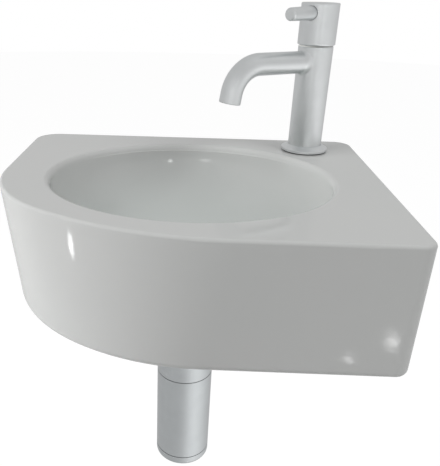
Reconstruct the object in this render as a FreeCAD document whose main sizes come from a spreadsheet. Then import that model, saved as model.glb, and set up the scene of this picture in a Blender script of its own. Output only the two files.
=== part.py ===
import FreeCAD, Part
import math
import os
import re

import Sketcher
from FreeCAD import Placement, Rotation, Vector

# A wall-hung corner basin for one cold tap: a glazed china casting with its pillar
# tap, its strainer waste, its bottle trap and its wall fixings.
# The origin is the middle of the two wall fixings, on the back face of the china.
# +X is the side that stands against the side wall, +Y is the wall behind, +Z is up.

doc = FreeCAD.newDocument("corner_basin")
sheet = doc.addObject("Spreadsheet::Sheet", "sizes")
nodes = []


# Every size that can be set by itself: millimetres and degrees, and a count of slots.
# Places across are from the side wall, heights from the deck unless a name says else.
SIZES = {
    # China casting
    "basin_width": 365,
    "basin_depth": 300,
    "basin_height": 120,
    "deck_above_fixings": 45,
    "left_draft": 8.5,
    "front_draft": 1,
    "top_sweep_across": 220,
    "top_sweep_back": 157,
    "foot_sweep_across": 186,
    "foot_sweep_back": 172,
    "sweep_turn": 55,
    "front_corner": 12,
    "back_corner": 8,
    "left_corner": 28,
    "deck_edge_round": 5,
    "foot_round": 7,
    "skirt_wall": 9,
    "back_wall": 12,
    "deck_wall": 14,
    "grinding": 1,
    # Bowl
    "bowl_from_back": 160,
    "bowl_half_length": 133,
    "bowl_half_breadth": 109,
    "bowl_depth": 88,
    "bowl_fullness": 2.6,
    "bowl_wall": 9,
    "bowl_floor": 13,
    "bowl_rim_round": 7,
    "waste_hole": 46,
    "waste_seat": 66,
    "waste_seat_depth": 3,
    # Wall fixings
    "fixing_spacing": 200,
    "fixing_hole": 14,
    "bolt_wall_thread": 8,
    "bolt_thread": 7.6,
    "bolt_in_wall": 55,
    "bolt_point": 8,
    "bolt_tip": 0.6,
    "bolt_spare": 5,
    "bolt_bevel": 0.8,
    "bush_set_back": 0.5,
    "bush_flange": 24,
    "bush_flange_thick": 3,
    "bush_gap": 0.2,
    "fixing_washer": 20,
    "fixing_washer_thick": 1.6,
    "fixing_nut_across": 13,
    "fixing_nut_thick": 6.5,
    "nut_bevel": 0.3,
    "thread_gap": 0.1,
    # Tap column
    "tap_hole": 35,
    "tap_from_back": 41.5,
    "tap_from_side": 57.5,
    "base_seal_radius": 23.6,
    "base_seal_thick": 1.2,
    "flange_radius": 24.8,
    "flange_thick": 2.6,
    "flange_bore": 14,
    "flange_edge": 0.8,
    "column_radius": 18,
    "column_top": 110,
    "column_edge": 0.5,
    "waterway_radius": 6.5,
    "tail_socket": 12,
    "oring_section": 1,
    "oring_radius": 15.4,
    "oring_gap": 0.1,
    # Spout
    "spout_azimuth": -150.6,
    "spout_height": 94.4,
    "spout_radius": 11,
    "spout_wall": 2.5,
    "spout_straight": 69,
    "spout_bend_radius": 32,
    "spout_bend_angle": 80,
    "spout_tail": 10,
    "spout_socket": 13.5,
    "outlet_bore": 9.25,
    "outlet_depth": 9.5,
    "outlet_edge": 0.6,
    "aerator_gap": 0.05,
    "aerator_length": 8,
    "aerator_ring": 1.8,
    "aerator_edge": 0.5,
    "aerator_key_width": 2,
    "aerator_key_depth": 1.8,
    "aerator_seal_thick": 1.2,
    "strainer_thick": 3,
    "strainer_hole": 1,
    "strainer_pitch": 2.91,
    "strainer_turn": 7,
    # Valve
    "seat_height": 84,
    "chamber_radius": 12,
    "chamber_top": 102,
    "valve_thread": 10.45,
    "valve_thread_gap": 0.05,
    "valve_tube": 9,
    "valve_bore": 7.2,
    "valve_seal_thick": 2,
    "valve_seal_squeeze": 0.2,
    "disc_thick": 3,
    "disc_gap": 0.1,
    "disc_port": 4,
    "disc_port_off": 3.74,
    "fork_thick": 4,
    "fork_gap": 0.2,
    "valve_window": 8.64,
    "valve_hex_across": 22,
    "valve_hex_thick": 5,
    "valve_neck": 7,
    "valve_neck_top": 122,
    "spindle_radius": 4,
    "spindle_gap": 0.05,
    "spindle_bevel": 0.8,
    "spindle_seal_rise": 2,
    "spindle_seal_height": 2,
    "spindle_seal_depth": 1,
    "spindle_seal_gap": 0.05,
    "spindle_top": 134,
    "spindle_groove": 3.2,
    "clip_thick": 1,
    "clip_radius": 5.8,
    "clip_gap": 0.05,
    "clip_mouth": 5.12,
    # Handle
    "glide_thick": 1,
    "glide_inner": 14.5,
    "glide_set_back": 0.5,
    "handle_gap": 0.3,
    "handle_radius": 19.3,
    "handle_top": 151.3,
    "handle_skirt_wall": 2.8,
    "handle_hollow": 12.5,
    "handle_edge": 1.2,
    "handle_head_gap": 0.6,
    "lever_azimuth": -128.2,
    "lever_height": 141.9,
    "lever_reach": 59.7,
    "lever_root": 6.7,
    "lever_tip": 6,
    "lever_tip_round": 1.9,
    "lever_recess": 2.2,
    "lever_recess_gap": 0.35,
    "lever_thread": 4,
    "lever_thread_length": 8,
    "lever_thread_gap": 0.3,
    "grub_height": 129.5,
    "grub_radius": 2.5,
    "grub_length": 8,
    "grub_key": 1.25,
    "grub_key_depth": 2.5,
    # Under the deck
    "shank_radius": 10.3,
    "inlet_thread": 10.48,
    "inlet_thread_length": 20,
    "shank_below_deck": 60,
    "deck_washer_radius": 22.5,
    "deck_washer_thick": 3,
    "clamp_washer_radius": 21,
    "clamp_washer_thick": 1.5,
    "backnut_across": 32,
    "backnut_thick": 8,
    # Waste
    "grate_radius": 31,
    "grate_thick": 2.4,
    "grate_seal_thick": 1.2,
    "grate_slot_inner": 9.5,
    "grate_slot_outer": 25.5,
    "grate_slot_width": 4.6,
    "grate_slot_root": 1.84,
    "grate_slot_end": 2.3,
    "grate_slot_shoulder": 3,
    "grate_slots": 12,
    "grate_boss_wall": 2,
    "grate_boss_depth": 2,
    "grate_edge_rise": 1.2,
    "grate_edge_reach": 1.8,
    "grate_dish": 0.8,
    "grate_seal_set_back": 0.6,
    "screw_seat_gap": 0.2,
    "screw_seat_depth": 0.6,
    "waste_seal_thick": 2.5,
    "waste_seal_gap": 0.3,
    "waste_flange_radius": 30,
    "waste_flange_thick": 3,
    "waste_thread": 20.95,
    "waste_spigot_gap": 0.6,
    "waste_spigot_rise": 4.3333333,
    "waste_bore": 18,
    "waste_tail_end": 140,
    "waste_bridge_width": 8,
    "waste_bridge_thick": 7,
    "waste_bridge_hub": 11,
    "waste_bridge_bite": 0.5,
    "waste_screw_radius": 3,
    "waste_screw_head": 5.5,
    "waste_screw_length": 28,
    "waste_screw_head_thick": 2.4,
    "waste_screw_dome": 1.6,
    "waste_screw_rim": 1.4,
    "driver_slot_width": 1.2,
    "driver_slot_depth": 1.2,
    # Bottle trap
    "pipe_radius": 16,
    "pipe_wall": 1.5,
    "pipe_gap": 0.1,
    "inlet_collar": 20,
    "inlet_collar_thick": 2.5,
    "union_seal_thick": 2,
    "union_nut_radius": 25,
    "union_nut_length": 20,
    "union_nut_lip": 2.4,
    "union_nut_edge": 1,
    "union_seal_set_back": 0.5,
    "union_flats": 8,
    "union_flat_width": 16,
    "union_flat_depth": 0.9,
    "union_flat_share": 0.4,
    "inlet_pipe_end": 292,
    "neck_nut_length": 15,
    "neck_seal_thick": 3,
    "head_top": 170,
    "head_bottom": 216,
    "neck_length": 13,
    "trap_radius": 30,
    "trap_wall": 2.4,
    "head_shoulder": 4,
    "seam_seal_thick": 0.8,
    "seam_seal_set_back": 0.8,
    "spigot_length": 7,
    "spigot_wall": 2.2,
    "spigot_gap": 0.1,
    "spigot_mouth": 1,
    "branch_bite": 3,
    "inside_taper": 3,
    "bottle_bottom": 321,
    "cup_bottom": 333,
    "cup_round": 5,
    "branch_drop": 193,
    "branch_length": 44,
    "outlet_socket": 12,
    "outlet_seal_thick": 3,
    "outlet_in_wall": 30,
    "outlet_end_length": 25,
    "outlet_end_radius": 15.8,
    "rosette_radius": 35,
    "rosette_depth": 9,
    "rosette_wall": 1.2,
    "rosette_rim": 2,
    "rosette_slope": 6,
}

for row, (name, value) in enumerate(SIZES.items(), 1):
    sheet.set("A%d" % row, name)
    sheet.set("B%d" % row, "%g" % value)
    sheet.setAlias("B%d" % row, name)
doc.recompute()


def bound(formula):
    """Turns a formula of plain size names into one that reads the sheet's cells."""
    return re.sub(r"\b[a-z]\w*\b(?!\s*\()", lambda word: "sizes." + word.group(), formula)


def worth(formula):
    """What a formula comes to at the sheet's values, in mm or degrees."""
    return float(sheet.evalExpression(bound(formula)))


def place(thing, x="0", y="0", z="0", axis=None, angle="0"):
    """Puts an object at its place, and turns it about one axis, from the sheet."""
    if axis:
        thing.Placement = Placement(Vector(), Rotation(axis, worth(angle) or 1))
        thing.setExpression("Placement.Rotation.Angle", bound(angle))
    for name, formula in zip("xyz", (x, y, z)):
        thing.setExpression("Placement.Base." + name, bound(formula))


def piece(label, **where):
    """One physical piece: a body with its own name, at its own place."""
    body = doc.addObject("PartDesign::Body", label + "_body")
    body.Label = label
    place(body, **where)
    return body


def keep(label, thing):
    """Names a finished piece and puts it on the list of pieces to write."""
    thing.Label = label
    nodes.append((label, thing))
    return thing


def plane(body, role):
    return next(flat for flat in body.Origin.OriginFeatures if flat.Role == role)


def sketch_on(body, name, role="XZ_Plane", rise="0"):
    """A sketch on one of the body's own origin planes, lifted off it by a formula."""
    drawing = body.newObject("Sketcher::SketchObject", name)
    drawing.AttachmentSupport = [(plane(body, role), "")]
    drawing.MapMode = "FlatFace"
    drawing.setExpression("AttachmentOffset.Base.z", bound(rise))
    return drawing


def pin_point(drawing, line, end, across, up):
    """Holds one end of a line at a place given by two formulas."""
    for kind, formula, axis_line in (("DistanceX", across, -2), ("DistanceY", up, -1)):
        if formula == "0":
            drawing.addConstraint(Sketcher.Constraint("PointOnObject", line, end, axis_line))
            continue
        rule = Sketcher.Constraint(kind, -1, 1, line, end, worth(formula))
        index = drawing.addConstraint(rule)
        drawing.setExpression("Constraints[%d]" % index, bound(formula))


def polygon(drawing, corners):
    """Draws a closed outline through corners that are pairs of formulas."""
    spots = [Vector(worth(across), worth(up), 0) for across, up in corners]
    for start, end in zip(spots, spots[1:] + spots[:1]):
        drawing.addGeometry(Part.LineSegment(start, end), False)
    for line in range(len(corners)):
        following = (line + 1) % len(corners)
        drawing.addConstraint(Sketcher.Constraint("Coincident", line, 2, following, 1))
    for line, (across, up) in enumerate(corners):
        pin_point(drawing, line, 1, across, up)


def circle(drawing, radius, across="0", up="0"):
    """Draws a circle whose radius and middle are formulas."""
    middle = Vector(worth(across), worth(up), 0)
    ring = drawing.addGeometry(Part.Circle(middle, Vector(0, 0, 1), worth(radius)), False)
    pin_point(drawing, ring, 3, across, up)
    index = drawing.addConstraint(Sketcher.Constraint("Radius", ring, worth(radius)))
    drawing.setExpression("Constraints[%d]" % index, bound(radius))


def turn(body, corners, name="section", groove=False):
    """Turns a half section about the body's upright axis: solid, or cut away."""
    drawing = sketch_on(body, body.Label + "_" + name)
    polygon(drawing, corners)
    kind = "PartDesign::Groove" if groove else "PartDesign::Revolution"
    turned = body.newObject(kind, body.Label + "_turned_" + name)
    turned.Profile = drawing
    turned.ReferenceAxis = (drawing, ["V_Axis"])
    turned.Angle = 360
    return turned


def turned_piece(label, corners, **where):
    body = piece(label, **where)
    turn(body, corners)
    return keep(label, body)


def ring_section(inner, outer, bottom, top):
    """The half section of a plain ring."""
    return [(inner, bottom), (outer, bottom), (outer, top), (inner, top)]


def primitive(body, kind, name, spot=("0", "0", "0"), turn_to=None, **measures):
    """Adds or cuts one simple solid at a spot of the body, from formulas."""
    thing = body.newObject("PartDesign::" + kind, body.Label + "_" + name)
    thing.AttachmentSupport = [(plane(body, "XY_Plane"), "")]
    thing.MapMode = "FlatFace"
    thing.AttachmentOffset = Placement(Vector(), turn_to or Rotation())
    for axis_name, formula in zip("xyz", spot):
        thing.setExpression("AttachmentOffset.Base." + axis_name, bound(formula))
    for measure, formula in measures.items():
        thing.setExpression(measure, bound(formula))
    return thing


def soften(body, name, radius, wanted, kind="Fillet"):
    """Rounds or bevels the edges that a test picks out of the body as it stands."""
    doc.recompute()
    base = body.Tip
    picked = ["Edge%d" % (at + 1) for at, edge in enumerate(base.Shape.Edges) if wanted(edge)]
    feature = body.newObject("PartDesign::" + kind, body.Label + "_" + name)
    feature.Base = (base, picked)
    feature.setExpression("Radius" if kind == "Fillet" else "Size", bound(radius))
    return feature


def lies_at(axis_name, level):
    """A test for edges that lie wholly at one level along an axis."""

    def wanted(edge):
        box = edge.BoundBox
        low, high = getattr(box, axis_name + "Min"), getattr(box, axis_name + "Max")
        return abs(low - level) < 0.01 and abs(high - level) < 0.01

    return wanted


LIE_BACK = Rotation(Vector(1, 0, 0), -90)
LIE_ACROSS = Rotation(Vector(0, 1, 0), 90)


# ---- The china casting: a lofted outside with a straight back and a straight right
# side, one wide sweep from the front round to the left, a hollow underside and a bowl.


def casting_outline(body, name, rise, inset, sweep, draft):
    """The plan of the casting at one level, drawn inside it by a wall's inset.

    The outside itself has some stock on the two wall faces, which is ground off later.
    """
    whole = inset == "0"
    left = "basin_width / 2 - (%s) - (%s)" % (draft[0], inset)
    right = "basin_width / 2 + grinding" if whole else "basin_width / 2 - (%s)" % inset
    front = "basin_depth - (%s) - (%s)" % (draft[1], inset)
    back = "grinding" if whole else "back_wall"
    across, deep = sweep
    step = "((%s) - (%s)) / (sin(sweep_turn) + cos(sweep_turn) - 1)" % (across, deep)
    tight = "%s - %s * cos(sweep_turn) - (%s)" % (across, step, inset)
    corner = {
        which: "max(%s - (%s); 1)" % (which, inset)
        for which in ("front_corner", "back_corner", "left_corner")
    }
    reach_x, reach_y = worth(across) - worth(inset), worth(deep) - worth(inset)
    small = worth(tight)
    wide = small + worth(step)
    x_left, x_right, y_front = -worth(left), worth(right), -worth(front)
    y_back = worth(back) if whole else -worth(back)
    wide_middle = Vector(x_left + reach_x, y_front + wide, 0)
    small_middle = Vector(x_left + small, y_front + reach_y, 0)
    meet_angle = math.pi + math.radians(worth("sweep_turn"))

    drawing = sketch_on(body, name, "XY_Plane", rise)

    def arc(middle, radius, start, end):
        round_line = Part.Circle(middle, Vector(0, 0, 1), radius)
        return drawing.addGeometry(Part.ArcOfCircle(round_line, start, end), False)

    def line(start, end):
        return drawing.addGeometry(Part.LineSegment(Vector(*start, 0), Vector(*end, 0)), False)

    r_front, r_back, r_left = (worth(corner[key]) for key in corner)
    pi = math.pi
    front_line = line((wide_middle.x, y_front), (x_right - r_front, y_front))
    front_arc = arc(Vector(x_right - r_front, y_front + r_front, 0), r_front, -pi / 2, 0)
    right_line = line((x_right, y_front + r_front), (x_right, y_back - r_back))
    back_arc = arc(Vector(x_right - r_back, y_back - r_back, 0), r_back, 0, pi / 2)
    back_line = line((x_right - r_back, y_back), (x_left + r_left, y_back))
    left_arc = arc(Vector(x_left + r_left, y_back - r_left, 0), r_left, pi / 2, pi)
    left_line = line((x_left, y_back - r_left), (x_left, small_middle.y))
    tight_arc = arc(small_middle, small, pi, meet_angle)
    wide_arc = arc(wide_middle, wide, meet_angle, 1.5 * pi)

    chain = [front_line, front_arc, right_line, back_arc, back_line, left_arc]
    chain += [left_line, tight_arc, wide_arc]
    for one, other in zip(chain, chain[1:] + chain[:1]):
        drawing.addConstraint(Sketcher.Constraint("Tangent", one, 2, other, 1))
    for level in (front_line, back_line):
        drawing.addConstraint(Sketcher.Constraint("Horizontal", level))
    for upright in (right_line, left_line):
        drawing.addConstraint(Sketcher.Constraint("Vertical", upright))

    def rule(kind, *what, value):
        index = drawing.addConstraint(Sketcher.Constraint(kind, *what, worth(value)))
        drawing.setExpression("Constraints[%d]" % index, bound(value))

    rule("DistanceX", left_line, 1, -1, 1, value=left)
    rule("DistanceX", -1, 1, right_line, 1, value=right)
    rule("DistanceY", front_line, 1, -1, 1, value=front)
    upwards = (-1, 1, back_line, 1) if whole else (back_line, 1, -1, 1)
    rule("DistanceY", *upwards, value=back)
    rule("Radius", front_arc, value=corner["front_corner"])
    rule("Radius", back_arc, value=corner["back_corner"])
    rule("Radius", left_arc, value=corner["left_corner"])
    rule("Radius", tight_arc, value=tight)
    rule("DistanceX", left_line, 2, front_line, 1, value="%s - (%s)" % (across, inset))
    rule("DistanceY", front_line, 1, left_line, 2, value="%s - (%s)" % (deep, inset))
    return drawing


def loft(body, kind, name, levels, ruled):
    skin = body.newObject("PartDesign::" + kind, body.Label + "_" + name)
    skin.Profile = levels[0]
    skin.Sections = levels[1:]
    skin.Ruled = ruled
    return skin


def bowl_level(body, name, share, wall, floor, last_share):
    """One level line of the bowl: an ellipse that closes in towards the floor."""
    close_in = "pow(1 - pow(%s; bowl_fullness); 1 / bowl_fullness)" % share
    drop = "(bowl_depth + %s) * %s / %s" % (floor, share, last_share)
    half_length = "(bowl_half_length + %s) * %s" % (wall, close_in)
    half_breadth = "(bowl_half_breadth + %s) * %s" % (wall, close_in)
    drawing = sketch_on(body, name, "XY_Plane", "deck_above_fixings - %s" % drop)
    middle = Vector(0, -worth("bowl_from_back"), 0)
    oval = Part.Ellipse(
        middle + Vector(worth(half_length), 0, 0),
        middle + Vector(0, worth(half_breadth), 0),
        middle,
    )
    drawing.addGeometry(oval, False)
    drawing.exposeInternalGeometry(0)
    drawing.addConstraint(Sketcher.Constraint("Horizontal", 1))
    drawing.addConstraint(Sketcher.Constraint("PointOnObject", 0, 3, -2))
    for what, formula in (
        (("DistanceY", 0, 3, -1, 1), "bowl_from_back"),
        (("Distance", 1), "2 * %s" % half_length),
        (("Distance", 2), "2 * %s" % half_breadth),
    ):
        index = drawing.addConstraint(Sketcher.Constraint(*what, worth(formula)))
        drawing.setExpression("Constraints[%d]" % index, bound(formula))
    return drawing


basin = piece("basin")
foot_level = "deck_above_fixings - basin_height"
TOP_SWEEP = ("top_sweep_across", "top_sweep_back")
FOOT_SWEEP = ("foot_sweep_across", "foot_sweep_back")
DRAFT = ("left_draft", "front_draft")
outside = [
    casting_outline(basin, "deck_outline", "deck_above_fixings", "0", TOP_SWEEP, ("0", "0")),
    casting_outline(basin, "foot_outline", foot_level, "0", FOOT_SWEEP, DRAFT),
]
loft(basin, "AdditiveLoft", "outside", outside, True)
soften(basin, "foot_round", "min(foot_round; skirt_wall - 1)", lies_at("Z", worth(foot_level)))
soften(basin, "deck_edge", "deck_edge_round", lies_at("Z", worth("deck_above_fixings")))
primitive(
    basin, "SubtractiveBox", "ground_back",
    ("-basin_width", "0", foot_level + " - 1"),
    Length="2 * basin_width", Width="2 * grinding", Height="basin_height + 2",
)
primitive(
    basin, "SubtractiveBox", "ground_side",
    ("basin_width / 2", "-basin_depth - 1", foot_level + " - 1"),
    Length="2 * grinding", Width="basin_depth + 2", Height="basin_height + 2",
)
underside = "deck_above_fixings - deck_wall"
hollow = [
    casting_outline(basin, "hollow_top", underside, "skirt_wall", TOP_SWEEP, ("0", "0")),
    casting_outline(basin, "hollow_foot", foot_level, "skirt_wall", FOOT_SWEEP, DRAFT),
]
loft(basin, "SubtractiveLoft", "hollow", hollow, True)
FLOOR_SHARE = 0.97
SHELL_SHARES = (0.08, 0.3, 0.55, 0.75, 0.89, FLOOR_SHARE)
BOWL_SHARES = (0, 0.3, 0.55, 0.75, 0.89, FLOOR_SHARE)
shell = [
    bowl_level(basin, "shell_level_%d" % at, share, "bowl_wall", "bowl_floor", FLOOR_SHARE)
    for at, share in enumerate(SHELL_SHARES)
]
loft(basin, "AdditiveLoft", "bowl_shell", shell, False)
inside = [
    bowl_level(basin, "bowl_level_%d" % at, share, "0", "0", FLOOR_SHARE)
    for at, share in enumerate(BOWL_SHARES)
]
loft(basin, "SubtractiveLoft", "bowl", inside, False)


soften(
    basin, "bowl_rim", "bowl_rim_round",
    lambda edge: edge.isClosed() and lies_at("Z", worth("deck_above_fixings"))(edge),
)
bowl_bottom = "deck_above_fixings - bowl_depth"
primitive(
    basin, "SubtractiveCylinder", "waste_seat",
    ("0", "-bowl_from_back", bowl_bottom + " - waste_seat_depth"),
    Radius="waste_seat / 2", Height="waste_seat_depth + 1",
)
primitive(
    basin, "SubtractiveCylinder", "waste_hole",
    ("0", "-bowl_from_back", bowl_bottom + " - bowl_floor - 5"),
    Radius="waste_hole / 2", Height="bowl_floor + 6",
)
primitive(
    basin, "SubtractiveCylinder", "tap_hole",
    ("basin_width / 2 - tap_from_side", "-tap_from_back", underside + " - 1"),
    Radius="tap_hole / 2", Height="deck_wall + 2",
)
for side, sign in (("left", "-"), ("right", "")):
    primitive(
        basin, "SubtractiveCylinder", "fixing_hole_" + side,
        (sign + "fixing_spacing / 2", "-back_wall - 1", "0"), LIE_BACK,
        Radius="fixing_hole / 2", Height="back_wall + 2",
    )
keep("basin", basin)


# ---- Wall fixings: two hanger bolts with plastic bushes, washers and nuts.


def pair(label, body):
    """A left and a right copy of a fixing, as two solids of one node."""
    twin = doc.addObject("Part::Mirroring", label + "_left")
    twin.Source = body
    twin.Normal = Vector(1, 0, 0)
    both = doc.addObject("Part::Compound", label + "_pair")
    both.Links = [body, twin]
    return keep(label, both)


def fixing(name, y="0"):
    """A body whose upright axis lies along the right-hand fixing, pointing at the wall."""
    body = piece(name, x="fixing_spacing / 2", y=y)
    body.Placement = Placement(Vector(), LIE_BACK)
    for axis_name, formula in zip("xyz", ("fixing_spacing / 2", y, "0")):
        body.setExpression("Placement.Base." + axis_name, bound(formula))
    return body


def nut(body, across, thick, bore):
    """A hexagon nut: prism, bevelled corners, bore."""
    primitive(
        body, "AdditivePrism", "hexagon",
        Circumradius="%s / 2 / cos(30)" % across, Height=thick,
    )
    beyond = "(%s / 2 / cos(30) + 1)" % across
    start = "(%s / 2 - nut_bevel)" % across
    bevel = [
        (start, thick),
        (beyond, "%s - (%s - %s) * tan(30)" % (thick, beyond, start)),
        (beyond, thick),
    ]
    turn(body, bevel, "bevel", groove=True)
    primitive(
        body, "SubtractiveCylinder", "bore", ("0", "0", "-1"),
        Radius=bore, Height="%s + 2" % thick,
    )


fixing_seat = "-back_wall - bush_flange_thick - fixing_washer_thick"
bolt_end = fixing_seat + " - fixing_nut_thick - bolt_spare"
bolt = fixing("wall_bolt")
turn(bolt, [
    ("0", bolt_end),
    ("bolt_thread / 2 - bolt_bevel", bolt_end),
    ("bolt_thread / 2", bolt_end + " + bolt_bevel"),
    ("bolt_thread / 2", "0"),
    ("bolt_wall_thread / 2", "0"),
    ("bolt_wall_thread / 2", "bolt_in_wall - bolt_point"),
    ("bolt_tip", "bolt_in_wall"),
    ("0", "bolt_in_wall"),
])
pair("wall_bolts", bolt)
bush = fixing("bolt_bush", "-back_wall - bush_flange_thick")
turn(bush, [
    ("bolt_thread / 2 + bush_gap", "0"),
    ("bush_flange / 2", "0"),
    ("bush_flange / 2", "bush_flange_thick"),
    ("fixing_hole / 2 - bush_gap", "bush_flange_thick"),
    ("fixing_hole / 2 - bush_gap", "bush_flange_thick + back_wall - bush_set_back"),
    ("bolt_thread / 2 + bush_gap", "bush_flange_thick + back_wall - bush_set_back"),
])
pair("bolt_bushes", bush)
washer = fixing("bolt_washer", fixing_seat)
turn(washer, ring_section(
    "bolt_thread / 2 + bush_gap", "fixing_washer / 2", "0", "fixing_washer_thick",
))
pair("bolt_washers", washer)
fixing_nut = fixing("bolt_nut", fixing_seat)
fixing_nut.Placement = Placement(Vector(), Rotation(Vector(1, 0, 0), 90))
nut(fixing_nut, "fixing_nut_across", "fixing_nut_thick", "bolt_thread / 2 + thread_gap")
pair("bolt_nuts", fixing_nut)


# ---- Tap: all of its pieces stand on one upright axis through the tap hole.
# Heights of the tap are counted from the top of the deck.

TAP = dict(x="basin_width / 2 - tap_from_side", y="-tap_from_back", z="deck_above_fixings")
column_foot = "base_seal_thick + flange_thick"

turned_piece(
    "flange_seal",
    ring_section("flange_bore + 1", "base_seal_radius", "0", "base_seal_thick"),
    **TAP,
)
turned_piece("tap_flange", [
    ("flange_bore", "base_seal_thick"),
    ("flange_radius", "base_seal_thick"),
    ("flange_radius", column_foot + " - flange_edge"),
    ("flange_radius - flange_edge", column_foot),
    ("flange_bore", column_foot),
], **TAP)

tail_socket_top = column_foot + " + tail_socket"
tap_body = piece("tap_body", **TAP)
turn(tap_body, [
    ("inlet_thread", column_foot),
    ("column_radius - column_edge", column_foot),
    ("column_radius", column_foot + " + column_edge"),
    ("column_radius", "column_top - column_edge"),
    ("column_radius - column_edge", "column_top"),
    ("valve_thread + valve_thread_gap", "column_top"),
    ("valve_thread + valve_thread_gap", "chamber_top"),
    ("chamber_radius", "chamber_top"),
    ("chamber_radius", "seat_height"),
    ("waterway_radius", "seat_height"),
    ("waterway_radius", tail_socket_top),
    ("inlet_thread", tail_socket_top),
])
turn(tap_body, ring_section(
    "oring_radius - oring_section - oring_gap", "oring_radius + oring_section + oring_gap",
    column_foot + " - 1", column_foot + " + 2 * oring_section",
), "seal_groove", groove=True)


def along(azimuth):
    """The turn that lays an upright tool level, pointing along an azimuth."""
    return Rotation(Vector(0, 0, 1), worth(azimuth)).multiply(LIE_ACROSS)


primitive(
    tap_body, "SubtractiveCylinder", "spout_socket",
    ("spout_socket * cos(spout_azimuth)", "spout_socket * sin(spout_azimuth)", "spout_height"),
    along("spout_azimuth"), Radius="spout_radius", Height="column_radius",
)
primitive(
    tap_body, "SubtractiveCylinder", "spout_port", ("0", "0", "spout_height"),
    along("spout_azimuth"), Radius="spout_radius - spout_wall - 1", Height="column_radius",
)
keep("tap_body", tap_body)

base_oring = piece("base_oring", **TAP)
oring_drawing = sketch_on(base_oring, "oring_section")
circle(oring_drawing, "oring_section", "oring_radius", column_foot + " + oring_section")
oring_turned = base_oring.newObject("PartDesign::Revolution", "oring_turned")
oring_turned.Profile = oring_drawing
oring_turned.ReferenceAxis = (oring_drawing, ["V_Axis"])
oring_turned.Angle = 360
keep("base_oring", base_oring)

# The spout is one drawn tube with a single bend, brazed into the column's side.
spout = piece("spout", x=TAP["x"], y=TAP["y"], z="deck_above_fixings + spout_height",
              axis=Vector(0, 0, 1), angle="spout_azimuth")
path = sketch_on(spout, "spout_path")
start_x, bend_x = worth("spout_socket"), worth("spout_straight")
bend_radius, bend_angle = worth("spout_bend_radius"), math.radians(worth("spout_bend_angle"))
bend_middle = Vector(bend_x, -bend_radius, 0)
bend_end = bend_middle + Vector(math.sin(bend_angle), math.cos(bend_angle), 0) * bend_radius
tail_way = Vector(math.cos(bend_angle), -math.sin(bend_angle), 0)
tail_end = bend_end + tail_way * worth("spout_tail")
path.addGeometry(Part.LineSegment(Vector(start_x, 0, 0), Vector(bend_x, 0, 0)), False)
bend = Part.Circle(bend_middle, Vector(0, 0, 1), bend_radius)
path.addGeometry(Part.ArcOfCircle(bend, math.pi / 2 - bend_angle, math.pi / 2), False)
path.addGeometry(Part.LineSegment(bend_end, tail_end), False)
for what in (
    ("Tangent", 0, 2, 1, 2), ("Tangent", 1, 1, 2, 1), ("PointOnObject", 0, 1, -1),
    ("Horizontal", 0),
):
    path.addConstraint(Sketcher.Constraint(*what))
for what, formula in (
    (("DistanceX", -1, 1, 0, 1), "spout_socket"),
    (("DistanceX", -1, 1, 0, 2), "spout_straight"),
    (("Radius", 1), "spout_bend_radius"),
    (("Distance", 2), "spout_tail"),
    (("DistanceY", 2, 2, 2, 1), "spout_tail * sin(spout_bend_angle)"),
):
    at = path.addConstraint(Sketcher.Constraint(*what, worth(formula)))
    path.setExpression("Constraints[%d]" % at, bound(formula))


def drawn_along(kind, name, radius):
    """A round profile carried along the spout's path."""
    profile = sketch_on(spout, "spout_%s_profile" % name, "YZ_Plane", "spout_socket")
    circle(profile, radius)
    tube = spout.newObject("PartDesign::" + kind, "spout_" + name)
    tube.Profile = profile
    tube.Spine = (path, ["Edge1", "Edge2", "Edge3"])
    return tube


drawn_along("AdditivePipe", "outside", "spout_radius")
drawn_along("SubtractivePipe", "inside", "spout_radius - spout_wall")
outlet_x = (
    "spout_straight + spout_bend_radius * sin(spout_bend_angle)"
    " + spout_tail * cos(spout_bend_angle)"
)
outlet_drop = (
    "spout_bend_radius * (1 - cos(spout_bend_angle)) + spout_tail * sin(spout_bend_angle)"
)
outlet_turn = Rotation(Vector(0, 1, 0), 90 + worth("spout_bend_angle"))
soften(
    spout, "outlet_edge", "min(outlet_edge; (spout_radius - outlet_bore) / 2)",
    lambda edge: abs(edge.Length - 2 * math.pi * worth("spout_radius")) < 0.01
    and edge.BoundBox.ZMax < -1,
)
primitive(
    spout, "SubtractiveCylinder", "outlet_recess",
    (
        outlet_x + " - outlet_depth * cos(spout_bend_angle)", "0",
        "-(" + outlet_drop + ") + outlet_depth * sin(spout_bend_angle)",
    ),
    outlet_turn, Radius="outlet_bore", Height="outlet_depth + 1",
)
keep("spout", spout)

# The flow straightener sits in the spout's end. Its pieces are made upright, with
# their foot at the mouth, and take the place and the tilt of the spout's end.


def at_outlet(body, depth):
    """Seats a piece in the spout's end, a depth in from the mouth."""
    lean = Rotation(Vector(0, 0, 1), worth("spout_azimuth")).multiply(
        Rotation(Vector(0, 1, 0), worth("spout_bend_angle") - 90)
    )
    body.Placement = Placement(Vector(), lean)
    reach = "(%s - (%s) * cos(spout_bend_angle))" % (outlet_x, depth)
    level = "spout_height - (%s) + (%s) * sin(spout_bend_angle)" % (outlet_drop, depth)
    spots = (
        TAP["x"] + " + %s * cos(spout_azimuth)" % reach,
        TAP["y"] + " + %s * sin(spout_azimuth)" % reach,
        "deck_above_fixings + " + level,
    )
    for axis_name, formula in zip("xyz", spots):
        body.setExpression("Placement.Base." + axis_name, bound(formula))
    return body


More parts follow.
